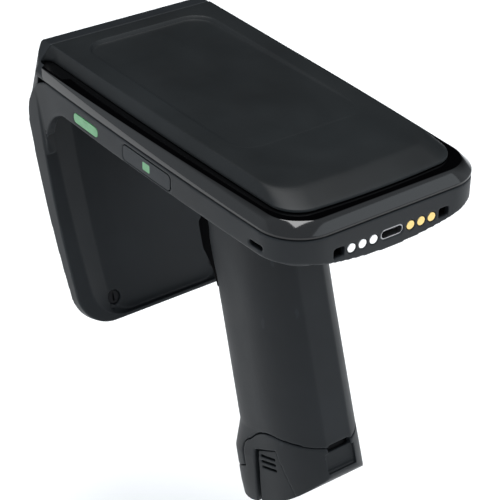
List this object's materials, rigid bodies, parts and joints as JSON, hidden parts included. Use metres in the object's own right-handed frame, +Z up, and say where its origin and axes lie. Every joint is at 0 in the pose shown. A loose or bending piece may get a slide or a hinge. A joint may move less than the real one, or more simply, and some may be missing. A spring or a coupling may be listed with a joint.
{
  "type": "handheld UHF RFID reader",
  "caption": "Pistol-grip handheld reader: flat head with a black cover and gloss rim, a hanging antenna panel in front, trigger, and a battery in the grip.",
  "frame": {"origin": "centre of the flat charging face at the rear of the head, on the line of the charging contacts", "axes": "+Z up, +Y forwards from the charging face towards the antenna panel, +X to the user's right"},
  "size_m": [0.086, 0.1669, 0.1523],
  "materials": {
    "housing": "fine matte moulded black",
    "cover_black": "fine matte moulded black, slightly smoother",
    "gloss_black": "polished black",
    "gasket": "matte",
    "green_lens": "frosted, lit green",
    "inner_plastic": "moulded",
    "silver_contact": "plated",
    "gold_contact": "plated",
    "steel": "stamped",
    "dark_steel": "turned",
    "circuit_board": "solder mask",
    "aluminium": "rolled",
    "copper": "rolled copper",
    "trigger_black": "matte moulded black",
    "cell_wrap": "shrink wrap"
  },
  "bodies": {
    "reader": {"head_tray": "housing", "front_housing": "housing", "bezel_ring": "gloss_black", "top_cover": "cover_black", "cover_gasket": "gasket", "light_bar": "green_lens", "contact_block": "inner_plastic", "contacts_left": "silver_contact", "contacts_right": "gold_contact", "usb_shell": "steel", "usb_tongue": "inner_plastic", "main_board": "circuit_board", "shield_can": "steel", "bluetooth_module": "steel", "buzzer": "inner_plastic", "key_switch": "inner_plastic", "board_posts": "housing", "board_screws": "steel", "antenna_ground_plate": "aluminium", "antenna_spacer": "inner_plastic", "antenna_patch": "copper", "antenna_coax": "gasket", "antenna_screws": "dark_steel", "grip_shell": "housing", "grip_screws": "steel", "grip_harness": "gasket", "trigger_pin": "steel", "trigger_spring": "steel", "trigger_switch": "inner_plastic", "battery_dock": "inner_plastic", "dock_pins": "gold_contact"},
    "trigger": {"trigger": "trigger_black"},
    "battery": {"battery_case": "inner_plastic", "battery_contacts": "gold_contact", "battery_cells": "cell_wrap", "battery_base": "housing"},
    "latch_left": {"latch_left": "housing"},
    "latch_right": {"latch_right": "housing"},
    "side_key": {"side_key": "housing", "key_window": "green_lens"}
  },
  "joints": [
    {"name": "trigger_pull", "type": "hinge", "parent": "reader", "child": "trigger", "pos_m": [0, 0.0838, -0.02661], "axis": [-1, 0, 0], "range_deg": [0, 8], "stiffness_Nm_per_rad": 0.9, "springref_deg": -2.86},
    {"name": "battery_slide", "type": "slide", "parent": "reader", "child": "battery", "axis": [0, -0.2924, -0.9563], "range_m": [0, 0.085]},
    {"name": "latch_left_press", "type": "slide", "parent": "battery", "child": "latch_left", "axis": [1, 0, 0], "range_m": [0, 0.002], "stiffness_N_per_m": 900},
    {"name": "latch_right_press", "type": "slide", "parent": "battery", "child": "latch_right", "axis": [-1, 0, 0], "range_m": [0, 0.002], "stiffness_N_per_m": 900},
    {"name": "side_key_press", "type": "hinge", "parent": "reader", "child": "side_key", "pos_m": [-0.042, 0.076, 0.0055], "axis": [0, -1, 0], "range_deg": [0, 5], "stiffness_Nm_per_rad": 0.05}
  ]
}
